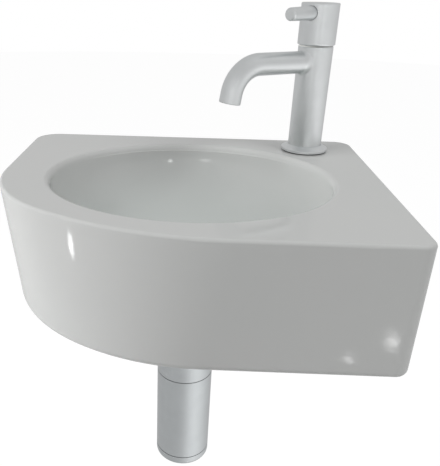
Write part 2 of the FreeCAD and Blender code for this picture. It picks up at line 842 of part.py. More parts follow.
aerator_outer = "outlet_bore - aerator_gap"
aerator_inner = "outlet_bore - aerator_gap - aerator_ring"
housing_foot = "outlet_depth - aerator_seal_thick - aerator_length"
aerator_housing = at_outlet(piece("aerator_housing"), housing_foot)
turn(aerator_housing, [
    (aerator_inner, "0"),
    (aerator_outer + " - aerator_edge", "0"),
    (aerator_outer, "aerator_edge"),
    (aerator_outer, "aerator_length"),
    (aerator_inner, "aerator_length"),
])
for name, angle in (("one", 0), ("two", 90)):
    primitive(
        aerator_housing, "SubtractiveBox", "key_slot_" + name,
        ("outlet_bore * sin(%d) - aerator_key_width / 2 * cos(%d)" % (angle, angle),
         "-outlet_bore * cos(%d) - aerator_key_width / 2 * sin(%d)" % (angle, angle),
         "-aerator_key_depth"),
        Rotation(Vector(0, 0, 1), angle),
        Length="aerator_key_width", Width="2 * outlet_bore", Height="2 * aerator_key_depth",
    )
keep("aerator_housing", aerator_housing)

aerator_insert = at_outlet(
    piece("aerator_insert"), housing_foot + " + aerator_length - strainer_thick",
)
turn(aerator_insert, ring_section("0", aerator_inner + " - aerator_gap", "0", "strainer_thick"))
strainer = sketch_on(aerator_insert, "strainer_holes", "XY_Plane")
circle(strainer, "strainer_hole")
for ring, count in ((1, 6), (2, 12)):
    for at in range(count):
        angle = 360 * at / count
        circle(
            strainer, "strainer_hole",
            "%d * strainer_pitch * cos(strainer_turn + %g)" % (ring, angle),
            "%d * strainer_pitch * sin(strainer_turn + %g)" % (ring, angle),
        )
strainer_cut = aerator_insert.newObject("PartDesign::Pocket", "strainer_cut")
strainer_cut.Profile = strainer
strainer_cut.Type = "ThroughAll"
strainer_cut.Reversed = True
keep("aerator_insert", aerator_insert)

aerator_seal = at_outlet(piece("aerator_seal"), "outlet_depth - aerator_seal_thick")
turn(aerator_seal, ring_section(aerator_inner, aerator_outer, "0", "aerator_seal_thick"))
keep("aerator_seal", aerator_seal)

# Below the deck: the threaded tail is the water inlet, and clamps the tap to the deck.
shank_foot = "-shank_below_deck"
turned_piece("threaded_tail", [
    ("waterway_radius", shank_foot),
    ("inlet_thread", shank_foot),
    ("inlet_thread", shank_foot + " + inlet_thread_length"),
    ("shank_radius", shank_foot + " + inlet_thread_length"),
    ("shank_radius", column_foot),
    ("inlet_thread", column_foot),
    ("inlet_thread", tail_socket_top),
    ("waterway_radius", tail_socket_top),
], **TAP)
turned_piece("deck_washer", ring_section(
    "shank_radius + thread_gap", "deck_washer_radius", "-deck_wall - deck_washer_thick", "-deck_wall",
), **TAP)
clamp_top = "-deck_wall - deck_washer_thick"
clamp_foot = clamp_top + " - clamp_washer_thick"
turned_piece("clamp_washer", ring_section(
    "shank_radius + thread_gap", "clamp_washer_radius", clamp_foot, clamp_top,
), **TAP)
backnut = piece("tap_backnut", x=TAP["x"], y=TAP["y"],
                z="deck_above_fixings + %s - backnut_thick" % clamp_foot)
nut(backnut, "backnut_across", "backnut_thick", "shank_radius + thread_gap")
keep("tap_backnut", backnut)


# ---- Valve: a quarter-turn ceramic cartridge, closed and opened by the spindle.

tube_foot = "seat_height + valve_seal_thick - valve_seal_squeeze"
fixed_top = tube_foot + " + disc_thick"
moving_top = fixed_top + " + disc_thick"
fork_top = moving_top + " + fork_thick"
hex_top = "column_top + valve_hex_thick"
turned_piece("cartridge_seal", ring_section(
    "waterway_radius", "valve_tube", "seat_height", tube_foot,
), **TAP)
housing = piece("cartridge_housing", **TAP)
turn(housing, [
    ("valve_bore", tube_foot),
    ("valve_tube", tube_foot),
    ("valve_tube", "chamber_top"),
    ("valve_thread", "chamber_top"),
    ("valve_thread", "column_top"),
    ("valve_neck", "column_top"),
    ("valve_neck", "valve_neck_top"),
    ("spindle_radius + spindle_gap", "valve_neck_top"),
    ("spindle_radius + spindle_gap", fork_top + " + fork_gap"),
    ("valve_bore", fork_top + " + fork_gap"),
])
primitive(
    housing, "AdditivePrism", "hexagon", ("0", "0", "column_top"),
    Circumradius="valve_hex_across / 2 / cos(30)", Height="valve_hex_thick",
)
primitive(
    housing, "SubtractiveCylinder", "spindle_bore", ("0", "0", "column_top - 1"),
    Radius="spindle_radius + spindle_gap", Height="valve_hex_thick + 2",
)
window_foot = fixed_top + " + disc_thick / 2"
primitive(
    housing, "SubtractiveBox", "windows",
    ("-valve_window / 2", "-valve_tube - 1", window_foot),
    Length="valve_window", Width="2 * valve_tube + 2", Height="fork_thick + disc_thick / 2",
)
keep("cartridge_housing", housing)


def ported_disc(label, foot):
    """A lapped ceramic disc with two opposite ports."""
    disc = piece(label, **TAP)
    turn(disc, ring_section("0", "valve_bore - disc_gap", foot, foot + " + disc_thick"))
    for name, sign in (("one", ""), ("two", "-")):
        primitive(
            disc, "SubtractiveCylinder", "port_" + name,
            (sign + "disc_port_off", "0", foot + " - 1"),
            Radius="disc_port / 2", Height="disc_thick + 2",
        )
    return keep(label, disc)


ported_disc("fixed_disc", tube_foot)
ported_disc("moving_disc", fixed_top)

spindle = piece("spindle", **TAP)
turn(spindle, [
    ("0", moving_top),
    ("valve_bore - disc_gap", moving_top),
    ("valve_bore - disc_gap", fork_top),
    ("spindle_radius", fork_top),
    ("spindle_radius", "valve_neck_top"),
    ("spindle_groove", "valve_neck_top"),
    ("spindle_groove", "valve_neck_top + clip_thick + 2 * clip_gap"),
    ("spindle_radius", "valve_neck_top + clip_thick + 2 * clip_gap"),
    ("spindle_radius", "spindle_top - spindle_bevel"),
    ("spindle_radius - spindle_bevel", "spindle_top"),
    ("0", "spindle_top"),
])
groove_foot = "chamber_top + spindle_seal_rise"
groove_top = groove_foot + " + spindle_seal_height"
turn(spindle, ring_section(
    "spindle_radius - spindle_seal_depth", "spindle_radius + 1", groove_foot, groove_top,
), "seal_groove", groove=True)
keep("spindle", spindle)
turned_piece("spindle_seal", ring_section(
    "spindle_radius - spindle_seal_depth", "spindle_radius + spindle_gap",
    groove_foot + " + spindle_seal_gap", groove_top + " - spindle_seal_gap",
), **TAP)
clip = piece("spindle_clip", **TAP)
turn(clip, ring_section(
    "spindle_groove + clip_gap", "clip_radius",
    "valve_neck_top + clip_gap", "valve_neck_top + clip_thick + clip_gap",
))
primitive(
    clip, "SubtractiveBox", "mouth",
    ("0", "-clip_mouth / 2", "valve_neck_top - 1"),
    Length="clip_radius + 1", Width="clip_mouth", Height="clip_thick + 3",
)
keep("spindle_clip", clip)


# ---- Handle: a turned cap on the spindle, with a screwed lever pin and a grub screw.

turned_piece("glide_ring", ring_section(
    "glide_inner", "column_radius - glide_set_back", "column_top", "column_top + glide_thick",
), **TAP)
handle_foot = "column_top + glide_thick + handle_gap"
handle_inner = "handle_radius - handle_skirt_wall"
handle = piece("handle", **TAP)
turn(handle, [
    ("0", "spindle_top + handle_head_gap"),
    ("spindle_radius + spindle_gap", "spindle_top + handle_head_gap"),
    ("spindle_radius + spindle_gap", handle_foot + " + handle_hollow"),
    (handle_inner, handle_foot + " + handle_hollow"),
    (handle_inner, handle_foot),
    ("handle_radius", handle_foot),
    ("handle_radius", "handle_top"),
    ("0", "handle_top"),
])


def is_handle_rim(edge):
    outer = abs(edge.Length - 2 * math.pi * worth("handle_radius")) < 0.01
    return outer and type(edge.Curve).__name__ == "Circle"


soften(handle, "rims", "min(handle_edge; handle_skirt_wall / 2)", is_handle_rim)
lever_seat = "handle_radius - lever_recess"
lever_thread_start = lever_seat + " - lever_thread_length"
lever_turn = along("lever_azimuth")
for name, start, radius, reach in (
    ("lever_recess", lever_seat, "lever_root + lever_recess_gap", "lever_recess + 2"),
    ("lever_thread", lever_thread_start, "lever_thread + thread_gap", "lever_thread_length + 1"),
):
    primitive(
        handle, "SubtractiveCylinder", name,
        ("(%s) * cos(lever_azimuth)" % start, "(%s) * sin(lever_azimuth)" % start, "lever_height"),
        lever_turn, Radius=radius, Height=reach,
    )
primitive(
    handle, "SubtractiveCylinder", "grub_hole", ("0", "0", "grub_height"),
    along("lever_azimuth + 180"), Radius="grub_radius + thread_gap", Height="handle_radius + 1",
)
keep("handle", handle)


def radial_piece(label, azimuth, level):
    """A body whose upright axis lies level and points out of the tap along an azimuth."""
    body = piece(label)
    body.Placement = Placement(Vector(), along(azimuth))
    spots = (TAP["x"], TAP["y"], "deck_above_fixings + " + level)
    for axis_name, formula in zip("xyz", spots):
        body.setExpression("Placement.Base." + axis_name, bound(formula))
    return body


lever = radial_piece("lever_pin", "lever_azimuth", "lever_height")
turn(lever, [
    ("0", lever_thread_start + " + lever_thread_gap"),
    ("lever_thread", lever_thread_start + " + lever_thread_gap"),
    ("lever_thread", lever_seat),
    ("lever_root", lever_seat),
    ("lever_tip", "lever_reach"),
    ("0", "lever_reach"),
])
soften(
    lever, "tip_round", "min(lever_tip_round; lever_tip - 1)",
    lambda edge: abs(edge.Length - 2 * math.pi * worth("lever_tip")) < 0.01,
)
keep("lever_pin", lever)

grub = radial_piece("handle_screw", "lever_azimuth + 180", "grub_height")
turn(grub, ring_section(
    "0", "grub_radius", "spindle_radius + spindle_gap", "spindle_radius + spindle_gap + grub_length",
))
primitive(
    grub, "SubtractivePrism", "key_socket",
    ("0", "0", "spindle_radius + spindle_gap + grub_length - grub_key_depth"),
    Circumradius="grub_key", Height="grub_key_depth + 1",
)
keep("handle_screw", grub)


# ---- Waste: a strainer grate in the bowl, pulled down by a screw onto a threaded tail.
# Heights of the waste and the trap are counted from the top of the deck.

WASTE = dict(x="0", y="-bowl_from_back", z="deck_above_fixings")
grate_foot = "-bowl_depth - waste_seat_depth + grate_seal_thick"
grate_top = grate_foot + " + grate_thick"
head_seat = grate_foot + " - screw_seat_depth"
turned_piece("waste_seal_top", ring_section(
    "waste_hole / 2 + waste_spigot_gap", "grate_radius - grate_seal_set_back",
    "-bowl_depth - waste_seat_depth", grate_foot,
), **WASTE)
grate = piece("waste_grate", **WASTE)
turn(grate, [
    ("waste_screw_radius + thread_gap", grate_foot + " - grate_boss_depth"),
    ("waste_screw_head + grate_boss_wall", grate_foot + " - grate_boss_depth"),
    ("waste_screw_head + grate_boss_wall", grate_foot),
    ("grate_radius", grate_foot),
    ("grate_radius", grate_top + " - grate_edge_rise"),
    ("grate_radius - grate_edge_reach", grate_top),
    ("waste_screw_head + screw_seat_gap", grate_top + " - grate_dish"),
    ("waste_screw_head + screw_seat_gap", head_seat),
    ("waste_screw_radius + thread_gap", head_seat),
])
slot = sketch_on(grate, "grate_slot", "XY_Plane", grate_foot + " - grate_thick")
polygon(slot, [
    ("grate_slot_inner", "-grate_slot_root / 2"),
    ("grate_slot_outer - grate_slot_shoulder", "-grate_slot_width / 2"),
    ("grate_slot_outer", "-grate_slot_end / 2"),
    ("grate_slot_outer", "grate_slot_end / 2"),
    ("grate_slot_outer - grate_slot_shoulder", "grate_slot_width / 2"),
    ("grate_slot_inner", "grate_slot_root / 2"),
])
slot_cut = grate.newObject("PartDesign::Pocket", "grate_slot_cut")
slot_cut.Profile = slot
slot_cut.Type = "Length"
slot_cut.Reversed = True
slot_cut.setExpression("Length", bound("3 * grate_thick"))
doc.recompute()
slots = grate.newObject("PartDesign::PolarPattern", "grate_slots_round")
slots.Originals = [slot_cut]
slots.Axis = (plane(grate, "Z_Axis"), [""])
slots.Angle = 360
slots.setExpression("Occurrences", bound("grate_slots"))
grate.Tip = slots
keep("waste_grate", grate)

china_underside = "-bowl_depth - bowl_floor"
seal_foot = china_underside + " - waste_seal_thick"
turned_piece("waste_seal_bottom", ring_section(
    "waste_hole / 2 + waste_seal_gap", "waste_flange_radius", seal_foot, china_underside,
), **WASTE)
flange_foot = seal_foot + " - waste_flange_thick"
tail = piece("waste_tail", **WASTE)
turn(tail, [
    ("waste_bore", "-waste_tail_end"),
    ("waste_thread", "-waste_tail_end"),
    ("waste_thread", flange_foot),
    ("waste_flange_radius", flange_foot),
    ("waste_flange_radius", seal_foot),
    ("waste_hole / 2 - waste_spigot_gap", seal_foot),
    ("waste_hole / 2 - waste_spigot_gap", china_underside + " + waste_spigot_rise"),
    ("waste_bore", china_underside + " + waste_spigot_rise"),
])
primitive(
    tail, "AdditiveBox", "bridge",
    ("-waste_bore - waste_bridge_bite", "-waste_bridge_width / 2",
     flange_foot + " - waste_bridge_thick"),
    Length="2 * (waste_bore + waste_bridge_bite)", Width="waste_bridge_width", Height="waste_bridge_thick",
)
primitive(
    tail, "AdditiveCylinder", "bridge_hub",
    ("0", "0", flange_foot + " - waste_bridge_thick"),
    Radius="waste_bridge_hub / 2", Height="waste_bridge_thick + waste_bridge_bite",
)
primitive(
    tail, "SubtractiveCylinder", "screw_hole",
    ("0", "0", flange_foot + " - waste_bridge_thick - 1"),
    Radius="waste_screw_radius + thread_gap", Height="waste_bridge_thick + 4",
)
keep("waste_tail", tail)
head_top = head_seat + " + waste_screw_head_thick"
screw = piece("waste_screw", **WASTE)
turn(screw, [
    ("0", head_seat + " - waste_screw_length"),
    ("waste_screw_radius", head_seat + " - waste_screw_length"),
    ("waste_screw_radius", head_seat),
    ("waste_screw_head", head_seat),
    ("waste_screw_head", head_seat + " + waste_screw_rim"),
    ("waste_screw_head - waste_screw_dome", head_top),
    ("0", head_top),
])
primitive(
    screw, "SubtractiveBox", "driver_slot",
    ("-waste_screw_head", "-driver_slot_width / 2", head_top + " - driver_slot_depth"),
    Length="2 * waste_screw_head", Width="driver_slot_width", Height="2 * driver_slot_depth",
)
keep("waste_screw", screw)


# ---- Bottle trap: inlet pipe, head with its branch, bottle and unscrewing cup.

collar_top = "-waste_tail_end - union_seal_thick"
collar_foot = collar_top + " - inlet_collar_thick"
pipe_inner = "pipe_radius - pipe_wall"
turned_piece("inlet_seal", ring_section(
    pipe_inner + " + union_seal_set_back", "inlet_collar", collar_top, "-waste_tail_end",
), **WASTE)
turned_piece("inlet_pipe", [
    (pipe_inner, "-inlet_pipe_end"),
    ("pipe_radius", "-inlet_pipe_end"),
    ("pipe_radius", collar_foot),
    ("inlet_collar", collar_foot),
    ("inlet_collar", collar_top),
    (pipe_inner, collar_top),
], **WASTE)


def union_nut(label, foot, length, bore, lip_bore, lip_at_foot=True, **where):
    """A round union nut with shallow grip flats and an inward lip at one end."""
    body = piece(label, **where)
    top = "%s + %s" % (foot, length)
    if lip_at_foot:
        lip = foot + " + union_nut_lip"
        hollow_side = [(bore, top), (bore, lip), (lip_bore, lip), (lip_bore, foot)]
    else:
        lip = top + " - union_nut_lip"
        hollow_side = [(lip_bore, top), (lip_bore, lip), (bore, lip), (bore, foot)]
    turn(body, [
        ("union_nut_radius - union_nut_edge", foot),
        ("union_nut_radius", foot + " + union_nut_edge"),
        ("union_nut_radius", top + " - union_nut_edge"),
        ("union_nut_radius - union_nut_edge", top),
    ] + hollow_side)
    flat_foot = "%s + %s * (1 - union_flat_share) / 2" % (foot, length)
    flat = sketch_on(body, label + "_flat", "XY_Plane", flat_foot)
    polygon(flat, [
        ("union_nut_radius - union_flat_depth", "-union_flat_width / 2"),
        ("union_nut_radius + union_nut_edge", "-union_flat_width / 2"),
        ("union_nut_radius + union_nut_edge", "union_flat_width / 2"),
        ("union_nut_radius - union_flat_depth", "union_flat_width / 2"),
    ])
    flat_cut = body.newObject("PartDesign::Pocket", label + "_flat_cut")
    flat_cut.Profile = flat
    flat_cut.Type = "Length"
    flat_cut.Reversed = True
    flat_cut.setExpression("Length", bound("%s * union_flat_share" % length))
    doc.recompute()
    flats = body.newObject("PartDesign::PolarPattern", label + "_flats")
    flats.Originals = [flat_cut]
    flats.Axis = (plane(body, "Z_Axis"), [""])
    flats.Angle = 360
    flats.setExpression("Occurrences", bound("union_flats"))
    body.Tip = flats
    return keep(label, body)


lip_bore = "pipe_radius + pipe_gap"
thread_bore = "waste_thread + thread_gap"
union_nut(
    "inlet_nut", collar_foot + " - union_nut_lip", "union_nut_length",
    thread_bore, lip_bore, **WASTE,
)

neck_top = "-head_top + neck_length"
neck_nut_top = neck_top + " + neck_seal_thick + union_nut_lip"
union_nut(
    "neck_nut", neck_nut_top + " - neck_nut_length", "neck_nut_length",
    thread_bore, lip_bore, lip_at_foot=False, **WASTE,
)
turned_piece("neck_seal", ring_section(
    "pipe_radius", "waste_thread - union_seal_set_back", neck_top, neck_top + " + neck_seal_thick",
), **WASTE)

head = piece("trap_head", **WASTE)
spigot_outer = "trap_radius - trap_wall - spigot_gap"
turn(head, [
    (lip_bore, neck_top),
    ("waste_thread", neck_top),
    ("waste_thread", "-head_top"),
    ("trap_radius - head_shoulder", "-head_top"),
    ("trap_radius", "-head_top - head_shoulder"),
    ("trap_radius", "-head_bottom"),
    ("trap_radius - trap_wall", "-head_bottom"),
    ("trap_radius - trap_wall", "-head_bottom + spigot_length"),
    ("trap_radius - trap_wall - spigot_wall", "-head_bottom + spigot_length + spigot_mouth"),
    ("trap_radius - trap_wall - spigot_wall", "-head_top - head_shoulder"),
    (lip_bore, "-head_top - head_shoulder"),
])
primitive(
    head, "AdditiveCylinder", "branch",
    ("0", "trap_radius - trap_wall - branch_bite", "-branch_drop"), LIE_BACK,
    Radius="waste_thread", Height="branch_length - trap_radius + trap_wall + branch_bite",
)
primitive(
    head, "SubtractiveCylinder", "inside",
    ("0", "0", "-head_bottom"),
    Radius="trap_radius - trap_wall - spigot_wall", Height="head_bottom - head_top - head_shoulder",
)
primitive(
    head, "SubtractiveCylinder", "spigot_bore", ("0", "0", "-head_bottom"),
    Radius="trap_radius - trap_wall", Height="spigot_length",
)
primitive(
    head, "SubtractiveCylinder", "branch_bore",
    ("0", "pipe_radius", "-branch_drop"), LIE_BACK,
    Radius=lip_bore, Height="branch_length",
)
keep("trap_head", head)

seam_radius = "trap_radius - seam_seal_set_back"
turned_piece("head_seal", ring_section(
    "trap_radius - trap_wall", seam_radius, "-head_bottom - seam_seal_thick", "-head_bottom",
), **WASTE)
bottle_top = "-head_bottom - seam_seal_thick"
turned_piece("trap_bottle", [
    ("trap_radius - trap_wall", "-bottle_bottom"),
    ("trap_radius", "-bottle_bottom"),
    ("trap_radius", bottle_top),
    (spigot_outer, bottle_top),
    (spigot_outer, bottle_top + " + spigot_length"),
    (spigot_outer + " - spigot_wall", bottle_top + " + spigot_length"),
    (spigot_outer + " - spigot_wall", bottle_top + " - inside_taper"),
    ("trap_radius - trap_wall", bottle_top + " - 2 * inside_taper"),
], **WASTE)
turned_piece("cup_seal", ring_section(
    "trap_radius - trap_wall", seam_radius, "-bottle_bottom - seam_seal_thick", "-bottle_bottom",
), **WASTE)
cup_top = "-bottle_bottom - seam_seal_thick"
cup = piece("trap_cup", **WASTE)
turn(cup, [
    ("0", "-cup_bottom"),
    ("trap_radius", "-cup_bottom"),
    ("trap_radius", cup_top),
    (spigot_outer, cup_top),
    (spigot_outer, cup_top + " + spigot_length"),
    (spigot_outer + " - spigot_wall", cup_top + " + spigot_length"),
    (spigot_outer + " - spigot_wall", "-cup_bottom + trap_wall + inside_taper"),
    (spigot_outer + " - spigot_wall - inside_taper", "-cup_bottom + trap_wall"),
    ("0", "-cup_bottom + trap_wall"),
])
soften(
    cup, "round", "min(cup_round; cup_bottom - bottle_bottom - seam_seal_thick - 0.5)",
    lies_at("Z", worth("-cup_bottom")),
)
keep("trap_cup", cup)


# The outlet runs level from the branch to the wall behind, through a cover plate.


def level_run(label, y):
    """A body whose upright axis runs level along the outlet, towards the wall."""
    body = piece(label)
    body.Placement = Placement(Vector(), LIE_BACK)
    for axis_name, formula in zip("xyz", ("0", y, "deck_above_fixings - branch_drop")):
        body.setExpression("Placement.Base." + axis_name, bound(formula))
    return body


branch_end = "branch_length - bowl_from_back"
outlet_pipe = level_run("outlet_pipe", branch_end + " - outlet_socket")
run_length = "outlet_socket - (%s) + outlet_in_wall" % branch_end
turn(outlet_pipe, [
    (pipe_inner, "0"),
    ("pipe_radius", "0"),
    ("pipe_radius", run_length + " - outlet_end_length"),
    ("outlet_end_radius", run_length + " - outlet_end_length"),
    ("outlet_end_radius", run_length),
    (pipe_inner, run_length),
])
keep("outlet_pipe", outlet_pipe)
outlet_seal = level_run("outlet_seal", branch_end)
turn(outlet_seal, ring_section("pipe_radius", "waste_thread - union_seal_set_back", "0", "outlet_seal_thick"))
keep("outlet_seal", outlet_seal)
outlet_nut_foot = "neck_nut_length - outlet_seal_thick - union_nut_lip"
outlet_nut = level_run("outlet_nut", branch_end)
turn(outlet_nut, [
    (thread_bore, "-(%s)" % outlet_nut_foot),
    ("union_nut_radius - union_nut_edge", "-(%s)" % outlet_nut_foot),
    ("union_nut_radius", "-(%s) + union_nut_edge" % outlet_nut_foot),
    ("union_nut_radius", "outlet_seal_thick + union_nut_lip - union_nut_edge"),
    ("union_nut_radius - union_nut_edge", "outlet_seal_thick + union_nut_lip"),
    (lip_bore, "outlet_seal_thick + union_nut_lip"),
    (lip_bore, "outlet_seal_thick"),
    (thread_bore, "outlet_seal_thick"),
])
keep("outlet_nut", outlet_nut)
rosette = level_run("wall_rosette", "0")
turn(rosette, [
    ("rosette_radius", "0"),
    ("rosette_radius", "-rosette_rim"),
    ("rosette_radius - rosette_slope", "-rosette_depth"),
    (lip_bore, "-rosette_depth"),
    (lip_bore, "rosette_wall - rosette_depth"),
    ("rosette_radius - rosette_slope - rosette_wall / 2", "rosette_wall - rosette_depth"),
    ("rosette_radius - rosette_wall", "-rosette_rim"),
    ("rosette_radius - rosette_wall", "0"),
])
keep("wall_rosette", rosette)

doc.recompute()

# ---- Every feature has to be sound before a piece is written.
faulty = [thing.Name for thing in doc.Objects if {"Invalid", "Error"} & set(thing.State)]
for label, thing in nodes:
    if thing.Shape.isNull() or not thing.Shape.isValid():
        faulty.append(label)
if faulty:
    raise RuntimeError("not sound: " + ", ".join(faulty))
os.makedirs("parts", exist_ok=True)
for label, thing in nodes:
    thing.Shape.exportStep("parts/%s.step" % label)
    solids = len(thing.Shape.Solids)
    print("%-20s %d solid(s) %10.1f mm3" % (label, solids, thing.Shape.Volume))
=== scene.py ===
import math

import bmesh
import bpy
from mathutils import Matrix, Vector


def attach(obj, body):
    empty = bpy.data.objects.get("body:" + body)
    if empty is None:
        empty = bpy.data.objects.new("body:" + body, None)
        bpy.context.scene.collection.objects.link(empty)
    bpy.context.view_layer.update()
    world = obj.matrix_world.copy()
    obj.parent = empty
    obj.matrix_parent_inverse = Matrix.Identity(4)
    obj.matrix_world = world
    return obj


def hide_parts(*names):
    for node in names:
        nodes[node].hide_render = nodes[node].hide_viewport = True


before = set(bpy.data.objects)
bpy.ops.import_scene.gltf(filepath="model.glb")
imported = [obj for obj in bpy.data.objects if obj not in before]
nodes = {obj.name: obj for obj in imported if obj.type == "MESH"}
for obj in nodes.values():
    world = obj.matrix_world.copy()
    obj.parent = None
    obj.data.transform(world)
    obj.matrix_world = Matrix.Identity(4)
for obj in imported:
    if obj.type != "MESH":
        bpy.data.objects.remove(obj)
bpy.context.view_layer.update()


# ---- China casting.
# One piece of vitreous china, slip cast in plaster, fired and glazed. The two faces
# that stand against the walls are ground flat and the foot is left bare. An oval bowl
# sinks into the deck, and the underside is hollow.

deck, foot, underside = 0.045, -0.075, 0.031
right_face, back_face, ground_off = 0.1825, 0.0, 0.001
deck_left, deck_front, deck_sweep = -0.1825, -0.300, (0.220, 0.157)
foot_left, foot_front, foot_sweep = -0.174, -0.299, (0.186, 0.172)
sweep_turn = math.radians(55)
front_corner, right_corner, left_corner = 0.012, 0.018, 0.026
edge_round, foot_round, foot_inner_round = 0.003, 0.007, 0.001
skirt_wall, back_wall = 0.009, 0.012
bowl_middle, rim_middle = Vector((0, -0.160)), Vector((0, -0.1505))
bowl_half = Vector((0.1342, 0.1130))
bowl_bottom, bowl_fullness, bowl_floor_share = -0.043, 2.6, 0.97
rim_round = 0.006
shell_wall, shell_floor = 0.009, 0.013
waste_hole, waste_seat, waste_seat_floor, seat_round = 0.023, 0.033, -0.046, 0.001
tap_axis = Vector((0.125, -0.0415))
tap_hole, fixing_hole, fixing_spread = 0.0175, 0.007, 0.100
quarter = math.pi / 2
vertical = Vector((0, 0, 1))


def heading(angle):
    """A step of unit length in the level plane."""
    return Vector((math.cos(angle), math.sin(angle)))


def plan(left, front, right, back, sweep, corners):
    """The casting's outline at one level: points with the angles of their outward normals.

    Front, right side, back and left end are straight. Two arcs that meet in a tangent
    sweep from the left end round to the front.
    """
    across, deep = sweep
    step = (across - deep) / (math.sin(sweep_turn) + math.cos(sweep_turn) - 1)
    tight = across - step * math.cos(sweep_turn)
    wide = tight + step
    meet = math.pi + sweep_turn
    front_r, right_r, left_r = corners
    # Each round: middle, radius, first and last angle, then the numbers of points along
    # it and along the straight that follows.
    rounds = (
        (right - front_r, front + front_r, front_r, -quarter, 0, 16, 44),
        (right - right_r, back - right_r, right_r, 0, quarter, 12, 64),
        (left + left_r, back - left_r, left_r, quarter, math.pi, 20, 26),
        (left + tight, front + deep, tight, math.pi, meet, 48, 0),
        (left + across, front + wide, wide, meet, 3 * quarter, 40, 40),
    )
    outline = []
    for at, (x, y, radius, start, end, turns, straights) in enumerate(rounds):
        for i in range(turns):
            angle = start + (end - start) * i / turns
            outline.append((Vector((x, y)) + radius * heading(angle), angle))
        x_next, y_next, radius_next = rounds[(at + 1) % len(rounds)][:3]
        here = Vector((x, y)) + radius * heading(end)
        there = Vector((x_next, y_next)) + radius_next * heading(end)
        outline += [(here.lerp(there, i / straights), end) for i in range(straights)]
    return outline


def rounded_edge(corner, one_way, other_way, radius, steps):
    """The section of a round between two faces that leave a corner in two directions."""
    half = one_way.angle(other_way) / 2
    middle = corner + (one_way + other_way).normalized() * radius / math.sin(half)
    start = corner + one_way * radius / math.tan(half) - middle
    end = corner + other_way * radius / math.tan(half) - middle
    turn = start.angle(end)
    section = []
    for i in range(steps + 1):
        from_start, from_end = turn * i / steps, turn * (1 - i / steps)
        spoke = (start * math.sin(from_end) + end * math.sin(from_start)) / math.sin(turn)
        section.append(middle + spoke)
    return section


def oval_spot(way, half_x, half_y, depth=0.0):
    """Where the bowl's oval is met in one direction, at a share of the bowl's depth.

    The rim's oval lies nearer to the wall than the waste, so the back wall is the steeper.
    """
    middle = rim_middle.lerp(bowl_middle, depth)
    return middle + way / math.hypot(way.x / half_x, way.y / half_y)


def closing(share):
    """How far the bowl has closed in at a share of its full depth."""
    return (1 - share ** bowl_fullness) ** (1 / bowl_fullness)


def placed(name, data):
    """Puts a mesh, a lamp or the camera in the scene as an object of its own."""
    piece = bpy.data.objects.new(name, data)
    bpy.context.scene.collection.objects.link(piece)
    return piece


def worked(name, work):
    """Ends the work on a mesh and puts it in the scene."""
    mesh = bpy.data.meshes.new(name)
    work.to_mesh(mesh)
    work.free()
    return placed(name, mesh)


def skin(name, columns):
    """A closed skin of quads over columns of points; both directions close on themselves."""
    mesh = bpy.data.meshes.new(name)
    rows, count = len(columns[0]), len(columns)
    faces = []
    for k in range(count):
        for i in range(rows):
            here, up = k * rows + i, k * rows + (i + 1) % rows
            next_k = (k + 1) % count * rows
            faces.append((here, next_k + i, next_k + (i + 1) % rows, up))
    mesh.from_pydata([tuple(point) for column in columns for point in column], [], faces)
    return placed(name, mesh)


def settle(piece, crease=math.radians(28)):
    """Points all faces outwards, shades them smooth and keeps the creases sharp."""
    work = bmesh.new()
    work.from_mesh(piece.data)
    bmesh.ops.recalc_face_normals(work, faces=work.faces)
    for face in work.faces:
        face.smooth = True
    for edge in work.edges:
        edge.smooth = len(edge.link_faces) == 2 and edge.calc_face_angle() < crease
    work.to_mesh(piece.data)
    work.free()
    even = piece.modifiers.new("even_normals", "WEIGHTED_NORMAL")
    even.keep_sharp = True
    return piece


corners = (front_corner, right_corner, left_corner)
inner_corners = (front_corner - skirt_wall, ground_off, left_corner - skirt_wall)
ground_right, ground_back = right_face + ground_off, back_face + ground_off
deck_plan = plan(deck_left, deck_front, ground_right, ground_back, deck_sweep, corners)
foot_plan = plan(foot_left, foot_front, ground_right, ground_back, foot_sweep, corners)
hollow_top, hollow_foot = (
    plan(
        left + skirt_wall, front + skirt_wall, right_face - skirt_wall, -back_wall,
        [reach - skirt_wall for reach in sweep], inner_corners,
    )
    for left, front, sweep in (
        (deck_left, deck_front, deck_sweep), (foot_left, foot_front, foot_sweep),
    )
)


def outer_section(k, way, outward):
    """From the bowl's rim over the deck and down the skirt to the foot's inner edge."""
    top, low = Vector((*deck_plan[k][0], deck)), Vector((*foot_plan[k][0], foot))
    down = (low - top).normalized()
    rim = Vector((*oval_spot(way, bowl_half.x + rim_round, bowl_half.y + rim_round), deck))
    edge = rounded_edge(top, -outward, down, edge_round, 10)
    base = rounded_edge(low, -down, -outward, foot_round, 10)
    section = [rim.lerp(edge[0], i / 4) for i in range(4)] + edge
    return section + [edge[-1].lerp(base[0], i / 10) for i in range(1, 10)] + base


def hollow_section(k, way, outward):
    """From the foot up inside the skirt, along under the deck and down the bowl's shell."""
    low, top = Vector((*hollow_foot[k][0], foot)), Vector((*hollow_top[k][0], underside))
    up = (top - low).normalized()
    section = rounded_edge(low, outward, up, foot_inner_round, 3)
    section += [low.lerp(top, i / 6) for i in range(1, 7)]
    drop = deck - bowl_bottom + shell_floor
    first, steps = (deck - underside) / drop * bowl_floor_share, 18
    for i in range(steps + 1):
        share = first + (bowl_floor_share - first) * math.sin(quarter * i / steps)
        shut = closing(share)
        half_x, half_y = ((half + shell_wall) * shut for half in bowl_half)
        spot = oval_spot(way, half_x, half_y, share)
        section.append(Vector((*spot, deck - drop * share / bowl_floor_share)))
    return section + [Vector((*(bowl_middle + way * waste_hole), deck - drop))]


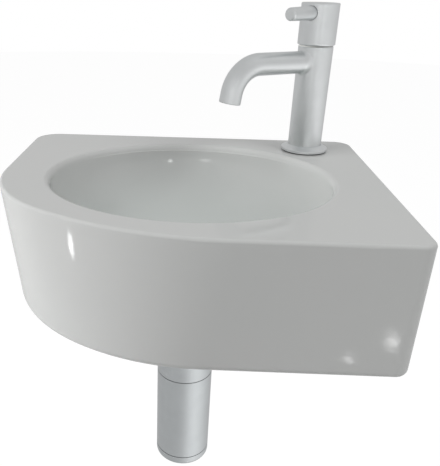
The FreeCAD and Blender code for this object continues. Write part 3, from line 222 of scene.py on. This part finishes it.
def bowl_section(way):
    """From the waste's seat out over the bowl's floor and up its wall to the rim."""
    outward = Vector((*way, 0))
    hole = Vector((*(bowl_middle + way * waste_hole), waste_seat_floor))
    seat = Vector((*(bowl_middle + way * waste_seat), bowl_bottom))
    section = [hole, hole + outward * (waste_seat - waste_hole)]
    section += rounded_edge(seat, -vertical, outward, seat_round, 4)
    last, steps = rim_round / (deck - bowl_bottom) * bowl_floor_share, 34
    for i in range(steps + 1):
        share = last + (bowl_floor_share - last) * math.cos(quarter * i / steps)
        shut = closing(share)
        spot = oval_spot(way, bowl_half.x * shut, bowl_half.y * shut, share)
        section.append(Vector((*spot, deck + (bowl_bottom - deck) * share / bowl_floor_share)))
    for i in range(1, 12):
        turn = quarter * i / 12
        out = rim_round * (1 - math.cos(turn))
        spot = oval_spot(way, bowl_half.x + out, bowl_half.y + out)
        section.append(Vector((*spot, deck - rim_round * (1 - math.sin(turn)))))
    return section


def casting_section(k):
    """One closed section of the casting, cut off at the two ground faces."""
    spot, angle = deck_plan[k]
    way, outward = (spot - bowl_middle).normalized(), Vector((*heading(angle), 0))
    section = outer_section(k, way, outward) + hollow_section(k, way, outward) + bowl_section(way)
    for point in section:
        point.x = min(point.x, right_face)
        point.y = min(point.y, back_face)
    return section


casting = skin("basin_casting", [casting_section(k) for k in range(len(deck_plan))])


def bored(piece, holes):
    """Cuts round holes: each is a middle, a direction, a radius and a length."""
    for middle, way, radius, length in holes:
        work = bmesh.new()
        bmesh.ops.create_cone(
            work, cap_ends=True, segments=96, radius1=radius, radius2=radius, depth=length,
            matrix=way.to_track_quat("Z", "Y").to_matrix().to_4x4(),
        )
        bmesh.ops.translate(work, vec=middle, verts=work.verts)
        cutter = worked("bore", work)
        cut = piece.modifiers.new("bore", "BOOLEAN")
        cut.operation = "DIFFERENCE"
        cut.solver = "EXACT"
        cut.object = cutter
        bpy.context.view_layer.update()
        seen = piece.evaluated_get(bpy.context.evaluated_depsgraph_get())
        carved = bpy.data.meshes.new_from_object(seen)
        piece.modifiers.clear()
        piece.data = carved
        bpy.data.objects.remove(cutter)
    return piece


to_wall = Vector((0, 1, 0))
mid_deck, mid_back = (deck + underside) / 2, -back_wall / 2
bored(casting, [
    (Vector((*tap_axis, mid_deck)), vertical, tap_hole, 2 * (deck - underside)),
    (Vector((-fixing_spread, mid_back, 0)), to_wall, fixing_hole, 2 * back_wall),
    (Vector((fixing_spread, mid_back, 0)), to_wall, fixing_hole, 2 * back_wall),
])
settle(casting)


class Wire:
    """A node's output. Sums, products and comparisons with it add Math nodes."""

    def __init__(self, tree, socket=None):
        self.tree = tree
        self.socket = socket

    def node(self, kind, inputs=(), output=0, **settings):
        """Adds a node, with its settings and its inputs, and gives the wire from it."""
        made = self.tree.nodes.new("ShaderNode" + kind)
        for setting, value in settings.items():
            setattr(made, setting, value)
        for name, value in dict(inputs).items():
            if isinstance(value, Wire):
                self.tree.links.new(value.socket, made.inputs[name])
            else:
                made.inputs[name].default_value = value
        return Wire(self.tree, None if output is None else made.outputs[output])

    def maths(self, operation, *values):
        return self.node("Math", enumerate(values), operation=operation)

    def __add__(self, other):
        return self.maths("ADD", self, other)

    def __sub__(self, other):
        return self.maths("SUBTRACT", self, other)

    def __rsub__(self, other):
        return self.maths("SUBTRACT", other, self)

    def __mul__(self, other):
        return self.maths("MULTIPLY", self, other)

    def __lt__(self, other):
        return self.maths("LESS_THAN", self, other)

    def __gt__(self, other):
        return self.maths("GREATER_THAN", self, other)

    __radd__, __rmul__ = __add__, __mul__

    def ramp(self, low, high):
        """Rises smoothly from 0 to 1 while the wire goes from low to high."""
        ends = {"Value": self, "From Min": low, "From Max": high}
        return self.node("MapRange", ends, interpolation_type="SMOOTHSTEP")

    def between(self, colour, other):
        """Mixes two colours, with the wire as the share of the second."""
        pair = {0: self, 6: colour, 7: other}
        for key in (6, 7):
            if not isinstance(pair[key], Wire):
                pair[key] = (*pair[key], 1)
        return self.node("Mix", pair, 2, data_type="RGBA")


def material(name):
    """An empty material, with a wire to start its nodes from."""
    made = bpy.data.materials.new(name)
    made.use_nodes = True
    made.node_tree.nodes.clear()
    return made, Wire(made.node_tree)


def surface(made, start, inputs):
    """Ends a material in one principled surface."""
    shader = start.node("BsdfPrincipled", inputs)
    start.node("OutputMaterial", {0: shader}, None)
    return made


def dress(made, *pieces):
    """Puts one material on pieces, which are objects or the names of CAD nodes."""
    for piece in pieces:
        target = nodes[piece] if isinstance(piece, str) else piece
        if not target.material_slots:
            target.data.materials.append(made)
        for slot in target.material_slots:
            slot.link = "OBJECT"
            slot.material = made


def noise(start, place, scale, detail=2.0):
    """A cloudy pattern, its scale in waves per metre."""
    return start.node("TexNoise", {"Vector": place, "Scale": scale, "Detail": detail})


def glazed_china():
    """White glaze over china: faintly wavy, bare where ground, and greener deeper in the bowl, partly
    from glaze pooling and partly a painted greenish cast of light.
    """
    white, greenish_tone_and_painted_light, skim = (0.680, 0.686, 0.676), (0.640, 0.672, 0.655), 0.0003
    dark_bisque, pale_bisque = (0.62, 0.60, 0.56), (0.74, 0.72, 0.68)
    made, start = material("glazed_china")
    place = start.node("TexCoord", output="Object")
    x, y, z = (start.node("SeparateXYZ", {0: place}, output=axis) for axis in range(3))
    off_x = (x - rim_middle.x) * (1 / bowl_half.x)
    off_y = (y - rim_middle.y) * (1 / bowl_half.y)
    in_bowl = (off_x * off_x + off_y * off_y).ramp(1.10, 0.90)
    # Painted light, partly real: the glaze turns greener deeper in the bowl, partly from glaze
    # pooling there and partly as a painted greenish cast of light.
    pooling_and_painted_light = in_bowl * z.ramp(deck - 0.001, bowl_bottom + 0.010)
    cloudy = noise(start, place, 7).ramp(0.3, 0.7)
    # The greenish colour comes in deeper in the bowl, as glaze pooling and painted light, and at
    # random over the whole casting.
    body = (pooling_and_painted_light * 0.8 + cloudy * 0.2).between(white, greenish_tone_and_painted_light)
    ground = (y > back_face - skim), (x > right_face - skim), (z < foot + skim)
    bare = 1 - (1 - ground[0]) * (1 - ground[1]) * (1 - ground[2])
    bisque = noise(start, place, 900, 6.0).between(dark_bisque, pale_bisque)
    wave = noise(start, place, 13, 1.0) * 6 + noise(start, place, 95, 2.0)
    return surface(made, start, {
        "Base Color": bare.between(body, bisque),
        "Roughness": 0.02 + 0.04 * noise(start, place, 30) + 0.7 * bare,
        "IOR": 1.52,
        "Normal": start.node("Bump", {"Strength": 1.0, "Distance": 0.00003, "Height": wave}),
    })


china = glazed_china()
dress(china, casting, "basin")
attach(casting, "basin_and_tap")
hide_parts("basin")


# ---- Wall fixings.
# Two zinc plated hanger bolts stand in the wall. A nylon bush lines each hole in the
# china, and a washer and a hexagon nut pull the casting up to the wall from inside.


def plated_metal(name, colour, rough, mottle=0.10):
    """A metal surface: fine grain, and a faint mottle from the plating and from hands."""
    made, start = material(name)
    place = start.node("TexCoord", output="Object")
    cloud = noise(start, place, 55, 3.0)
    fine = noise(start, place, 3600)
    darker = tuple(part * (1 - mottle) for part in colour)
    return surface(made, start, {
        "Base Color": cloud.ramp(0.35, 0.65).between(colour, darker),
        "Metallic": 1.0,
        "Roughness": rough + 0.05 * (cloud - 0.5) + 0.04 * (fine - 0.5),
        "Normal": start.node("Bump", {"Strength": 1.0, "Distance": 0.000002, "Height": fine}),
    })


def moulded(name, colour, rough):
    """A moulded or pressed material, with a fine uneven skin."""
    made, start = material(name)
    place = start.node("TexCoord", output="Object")
    cloud = noise(start, place, 220, 4.0)
    darker = tuple(part * 0.86 for part in colour)
    return surface(made, start, {
        "Base Color": cloud.ramp(0.3, 0.7).between(colour, darker),
        "Roughness": rough + 0.12 * (cloud - 0.5),
        "Normal": start.node("Bump", {"Strength": 0.5, "Distance": 0.00004, "Height": cloud}),
    })


# How high the ridge of a thread stands at each step of one pitch.
thread_ridge = (0.0, 0.5, 1.0, 1.0, 0.5, 0.0)
thread_around, blunt_tip = 40, 0.15


def threaded(name, start, way, length, thread, bore=0.0, point=0.0):
    """A rod or tube with a helical thread that runs out to its root at both ends.

    The thread is its pitch and the radii of its crest and root. The rows of points follow
    the helix, and are welded flat where they reach an end.
    """
    pitch, crest, root = thread
    steps, turns = len(thread_ridge), math.ceil(length / pitch)
    side = way.orthogonal().normalized()
    other = way.cross(side)
    work = bmesh.new()
    rows = []
    for i in range(-steps, steps * (turns + 1) + 1):
        row = []
        for j in range(thread_around):
            along = min(max((i / steps + j / thread_around) * pitch, 0), length)
            left = length - along
            ridge = thread_ridge[i % steps] * min(1, along / pitch, left / pitch)
            radius = root + (crest - root) * ridge
            if point:
                radius *= min(1, blunt_tip + left / point)
            turn = 2 * math.pi * j / thread_around
            spoke = math.cos(turn) * side + math.sin(turn) * other
            row.append(work.verts.new(start + way * along + spoke * radius))
        rows.append(row)
    for i, (low, high) in enumerate(zip(rows, rows[1:])):
        for j in range(thread_around - 1):
            work.faces.new((low[j], low[j + 1], high[j + 1], high[j]))
        if i + steps + 1 < len(rows):
            work.faces.new((low[-1], rows[i + steps][0], rows[i + steps + 1][0], high[-1]))
    bmesh.ops.remove_doubles(work, verts=work.verts, dist=1e-7)
    ends = [edge for edge in work.edges if edge.is_boundary]
    if bore:
        for part in bmesh.ops.extrude_edge_only(work, edges=ends)["geom"]:
            if isinstance(part, bmesh.types.BMVert):
                along = way * (part.co - start).dot(way)
                part.co = start + along + (part.co - start - along).normalized() * bore
        bmesh.ops.bridge_loops(work, edges=[edge for edge in work.edges if edge.is_boundary])
    else:
        bmesh.ops.holes_fill(work, edges=ends)
    return worked(name, work)


def joined(name, pieces):
    """Puts several closed skins into one piece."""
    work = bmesh.new()
    for piece in pieces:
        work.from_mesh(piece.data)
        bpy.data.objects.remove(piece)
    return worked(name, work)


bolt_end, wall_depth, wood_point, lap = 0.0281, 0.055, 0.008, 0.002
machine_thread, wood_thread = (0.00125, 0.0038, 0.0032), (0.0032, 0.0040, 0.0029)
bolt_halves = []
for x in (-fixing_spread, fixing_spread):
    nut_end, wall_end = Vector((x, -bolt_end, 0)), Vector((x, 0, 0))
    bolt_halves.append(threaded("bolt", nut_end, to_wall, bolt_end + lap, machine_thread))
    bolt_halves.append(threaded("bolt", wall_end, to_wall, wall_depth, wood_thread, point=wood_point))
bolts = settle(joined("hanger_bolts", bolt_halves))
zinc_steel = plated_metal("zinc_steel", (0.66, 0.68, 0.70), 0.36, mottle=0.22)
nylon = moulded("nylon", (0.80, 0.80, 0.75), 0.45)
dress(zinc_steel, bolts, "bolt_washers", "bolt_nuts")
dress(nylon, "bolt_bushes")
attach(bolts, "basin_and_tap")
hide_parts("wall_bolts")


# ---- Tap body.
# A turned brass column with a flange ring round its foot, blasted and satin plated. A
# black seal keeps water out from under the flange, and a ring of acetal carries the handle.

satin_metal = plated_metal("satin_metal", (0.785, 0.805, 0.810), 0.36, mottle=0.03)
black_rubber = moulded("black_rubber", (0.030, 0.031, 0.032), 0.55)
acetal = moulded("acetal", (0.86, 0.86, 0.83), 0.38)
flange_foot, flange_seat, flange_bore, flange_collar = 0.0462, 0.0487, 0.0140, 0.0181
flange_profile = (
    (flange_bore, flange_foot), (0.0248, flange_foot), (0.0251, 0.0466), (0.0251, 0.0484),
    (0.0247, 0.0490), (0.0215, 0.0506), (0.0192, 0.0520), (0.0184, 0.0524),
    (flange_collar, 0.0522), (flange_collar, flange_seat), (flange_bore, flange_seat),
)


def ring_section(middle, turn, profile):
    """One section of a turned ring, from its radii and heights."""
    spoke = heading(turn)
    return [Vector((*(middle + radius * spoke), height)) for radius, height in profile]


flange = settle(skin("flange_ring", [
    ring_section(tap_axis, math.radians(turn), flange_profile) for turn in range(0, 360, 3)
]))
dress(satin_metal, "tap_body", flange)
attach(flange, "basin_and_tap")
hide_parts("tap_flange")
dress(black_rubber, "flange_seal", "base_oring")
dress(acetal, "glide_ring")


# ---- Spout.
# A brass tube drawn round a bend and brazed into the column's side with a fillet, then
# satin plated with it. The outlet is counterbored for a small acetal aerator.

spout_turn, spout_level = math.radians(-150.6), 0.1394
spout_radius, spout_bore, column_radius = 0.011, 0.0085, 0.018
braze, braze_root = 0.0038, 0.0004
spout_start, spout_bend_start, bend_radius, bend = 0.0135, 0.069, 0.032, math.radians(80)
spout_tail, outlet_radius, outlet_depth, outlet_bevel = 0.010, 0.00925, 0.0095, 0.0006


def spout_point(along, radius, turn):
    """A point of the tube, from how far along its line it is, its radius and its turn."""
    if along <= spout_bend_start:
        tilt, reach, drop = 0, along, 0
    else:
        tilt = min((along - spout_bend_start) / bend_radius, bend)
        past = max(along - spout_bend_start - bend_radius * bend, 0)
        reach = spout_bend_start + bend_radius * math.sin(tilt) + past * math.cos(tilt)
        drop = bend_radius * (1 - math.cos(tilt)) + past * math.sin(tilt)
    lift = radius * math.sin(turn)
    out = heading(spout_turn) * (reach + lift * math.sin(tilt))
    out += heading(spout_turn + quarter) * radius * math.cos(turn)
    return Vector((*(tap_axis + out), spout_level - drop + lift * math.cos(tilt)))


def spout_section(turn):
    """The tube's wall on one side: brazed foot, outside, outlet, and back up the bore."""
    bend_length = bend_radius * bend
    end = spout_bend_start + bend_length + spout_tail
    section = [spout_point(spout_start, spout_radius, turn)]
    for i in range(9):
        swell = quarter * i / 8
        radius = spout_radius + braze * (1 - math.sin(swell))
        aside = min(abs(radius * math.cos(turn)), 0.99 * column_radius)
        wall = math.sqrt(column_radius ** 2 - aside ** 2)
        sunk = braze_root * (1 - i / 8)
        section.append(spout_point(wall + braze * (1 - math.cos(swell)) - sunk, radius, turn))
    foot = math.sqrt(column_radius ** 2 - (spout_radius * math.cos(turn)) ** 2) + braze
    straight = [foot + (spout_bend_start - foot) * i / 12 for i in range(1, 13)]
    bent = [spout_bend_start + bend_length * i / 36 for i in range(1, 37)]
    mouth = (
        (end - outlet_bevel, spout_radius),
        (end, spout_radius - outlet_bevel),
        (end, outlet_radius + outlet_bevel / 2),
        (end - outlet_bevel / 2, outlet_radius),
        (end - outlet_depth, outlet_radius),
        (end - outlet_depth, spout_bore),
    )
    section += [spout_point(stop, spout_radius, turn) for stop in straight + bent]
    section += [spout_point(stop, radius, turn) for stop, radius in mouth]
    section += [spout_point(stop, spout_bore, turn) for stop in reversed(bent[::3])]
    return section + [spout_point(spout_start, spout_bore, turn)]


spout_around = 72
spout = settle(skin("brazed_spout", [
    spout_section(2 * math.pi * k / spout_around) for k in range(spout_around)
]))
dress(satin_metal, spout)
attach(spout, "basin_and_tap")
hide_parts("spout")
dress(acetal, "aerator_housing", "aerator_insert")
dress(black_rubber, "aerator_seal")


# ---- Tap clamp.
# The tap's tail is a threaded brass pipe that takes the supply. A rubber washer, a steel
# one and a hexagon brass nut draw it down under the deck.

tail_foot, tail_length, tail_bore = Vector((*tap_axis, -0.015)), 0.062, 0.0065
pipe_thread = (0.001814, 0.01048, 0.00960)
tail = settle(threaded("threaded_pipe", tail_foot, vertical, tail_length, pipe_thread, tail_bore))
plated_brass = plated_metal("plated_brass", (0.78, 0.66, 0.40), 0.30, mottle=0.15)
stainless = plated_metal("stainless", (0.72, 0.73, 0.74), 0.24)
dress(plated_brass, tail, "tap_backnut")
dress(black_rubber, "deck_washer")
dress(stainless, "clamp_washer")
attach(tail, "basin_and_tap")
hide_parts("threaded_tail")


# ---- Cartridge.
# Inside the column a brass housing holds two ceramic discs. The upper one turns with a
# brass spindle, which a steel clip holds in and a rubber ring seals.

valve_ceramic = moulded("valve_ceramic", (0.88, 0.87, 0.83), 0.22)
dress(plated_brass, "cartridge_housing", "spindle")
dress(valve_ceramic, "fixed_disc", "moving_disc")
dress(black_rubber, "cartridge_seal", "spindle_seal")
dress(stainless, "spindle_clip")


# ---- Handle.
# A turned brass cap over the column, with a round pin screwed into a counterbore in its
# side as the lever. A grub screw at the back fixes it to the spindle.

dress(satin_metal, "handle", "lever_pin")
dress(stainless, "handle_screw")


# ---- Waste.
# A slotted steel strainer lies in the bowl's seat. A long screw draws it down onto a
# threaded brass tail, and rubber seals bed both of them on the china.

turns_foot, turns_length, turns_bore = Vector((*bowl_middle, -0.0815)), 0.0198, 0.0202
coarse_thread = (0.002309, 0.0213, 0.0206)
turns = settle(
    threaded("waste_thread", turns_foot, vertical, turns_length, coarse_thread, turns_bore)
)
dress(stainless, "waste_grate", "waste_screw")
dress(black_rubber, "waste_seal_top", "waste_seal_bottom")
dress(plated_brass, turns, "waste_tail")
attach(turns, "basin_and_tap")


# ---- Bottle trap.
# Drawn and turned brass, satin plated: an inlet pipe, a head with a side branch, the
# bottle, a cup that unscrews for cleaning, and a pipe through a rosette into the wall.

# Painted shade: the trap has the same satin plating as the tap, but a darker colour that paints in
# the shade it hangs in under the basin.
trap_metal = plated_metal("trap_metal", (0.58, 0.605, 0.615), 0.34, mottle=0.03)
dress(black_rubber, "inlet_seal", "neck_seal", "head_seal", "cup_seal", "outlet_seal")
dress(
    trap_metal, "inlet_pipe", "inlet_nut", "neck_nut", "trap_head", "trap_bottle", "trap_cup",
    "outlet_pipe", "outlet_nut", "wall_rosette",
)


# ---- Floor, light and camera.
# The floor is a wide pale disc. The lamps shade the object, and the room that its glossy
# faces mirror is a plain level with a few soft or small bright places.

floor_level, floor_reach = -0.85, 9.0
floor_white, floor_glow, floor_share = (0.80, 0.80, 0.80, 1), 1.12, 0.85
work = bmesh.new()
bmesh.ops.create_circle(work, cap_ends=True, segments=64, radius=floor_reach)
bmesh.ops.translate(work, vec=(0, 0, floor_level), verts=work.verts)
floor = worked("floor", work)
pale_floor, start = material("pale_floor")
seen = start.node("LightPath", output="Is Camera Ray")
matt = start.node("BsdfDiffuse", {"Color": floor_white})
glow = start.node("Emission", {"Color": (1, 1, 1, 1), "Strength": floor_glow})
blend = start.node("MixShader", {0: seen * floor_share, 1: matt, 2: glow})
start.node("OutputMaterial", {0: blend}, None)
dress(pale_floor, floor)
floor.visible_glossy = False

# What the glossy faces mirror: azimuth from the front and elevation in degrees, the
# tightness of the bright place, and its strength.
bright_places = (
    (45, -35, 8, 0.60),
    (90, -35, 8, 0.27),
    (-30, 10, 8, 0.15),
    (90, 50, 8, 0.15),
    (17, -2, 3000, 10.0),
    (15.5, 6, 3000, 8.0),
    (-10, 3, 900, 6.0),
    (-68, -23.5, 8000, 22.0),
    (23, -32, 20000, 8.0),
    (19, -34.5, 30000, 5.0),
)
room_level, shade_level = 0.60, 0.245
world = bpy.data.worlds.new("studio")
bpy.context.scene.world = world
world.use_nodes = True
world.node_tree.nodes.clear()
sky = Wire(world.node_tree)
seen, mirrored, through = (
    sky.node("LightPath", output=kind)
    for kind in ("Is Camera Ray", "Is Glossy Ray", "Is Transmission Ray")
)
way = sky.node("TexCoord", output="Generated")
room = room_level
for azimuth, elevation, tightness, strength in bright_places:
    azimuth, elevation = math.radians(azimuth), math.radians(elevation)
    aim = (*(math.cos(elevation) * heading(azimuth - quarter)), math.sin(elevation))
    facing = sky.node("VectorMath", {0: way, 1: aim}, 1, operation="DOT_PRODUCT")
    facing = facing.maths("MAXIMUM", facing, 0.0)
    room = facing.maths("POWER", facing, tightness) * strength + room
clear = seen + through
level = clear + (1 - clear) * (mirrored * room + (1 - mirrored) * shade_level)
shade = sky.node("Background", {"Color": (1, 1, 1, 1), "Strength": level})
sky.node("OutputWorld", {0: shade}, None)

object_middle = Vector((0, -0.15, 0))
lamps = (
    ("window_light", (-2.17, -0.35, 0.08), (1.0, 1.8), 23),
    ("low_light", (-2.15, -0.15, 0.46), (1.0, 1.0), 8),
    ("left_light", (-1.35, -0.93, 1.56), (1.0, 1.0), 13),
    ("right_light", (1.35, -0.93, 1.56), (1.0, 1.0), 14.5),
)
for name, spot, size, power in lamps:
    light = bpy.data.lights.new(name, "AREA")
    light.shape = "RECTANGLE"
    light.size, light.size_y = size
    light.energy = power
    lamp = placed(name, light)
    lamp.location = spot
    lamp.rotation_euler = (object_middle - Vector(spot)).to_track_quat("-Z", "Y").to_euler()
    lamp.visible_glossy = False

scene = bpy.context.scene
scene.view_settings.view_transform = "Standard"
photo_long_side, photo_centre = 466, (220, 233)
focal_pixels, axis_pixel = 579.66, (174.24, 259.22)
pitch, yaw, roll = math.radians(25.9), math.radians(1.53), math.radians(1.29)
eye_place = (-0.00025, -0.68613, 0.21581)
eye = bpy.data.cameras.new("camera")
eye.sensor_width = 36
eye.lens = focal_pixels * eye.sensor_width / photo_long_side
eye.shift_x = (photo_centre[0] - axis_pixel[0]) / photo_long_side
eye.shift_y = (axis_pixel[1] - photo_centre[1]) / photo_long_side
camera = placed("camera", eye)
look = Vector((*(math.cos(pitch) * heading(yaw + quarter)), -math.sin(pitch)))
level_right = Vector((*heading(yaw), 0))
level_down = look.cross(level_right)
to_right = math.cos(roll) * level_right - math.sin(roll) * level_down
to_top = -(math.sin(roll) * level_right + math.cos(roll) * level_down)
camera.matrix_world = Matrix((to_right, to_top, -look)).transposed().to_4x4()
camera.matrix_world.translation = eye_place
scene.camera = camera
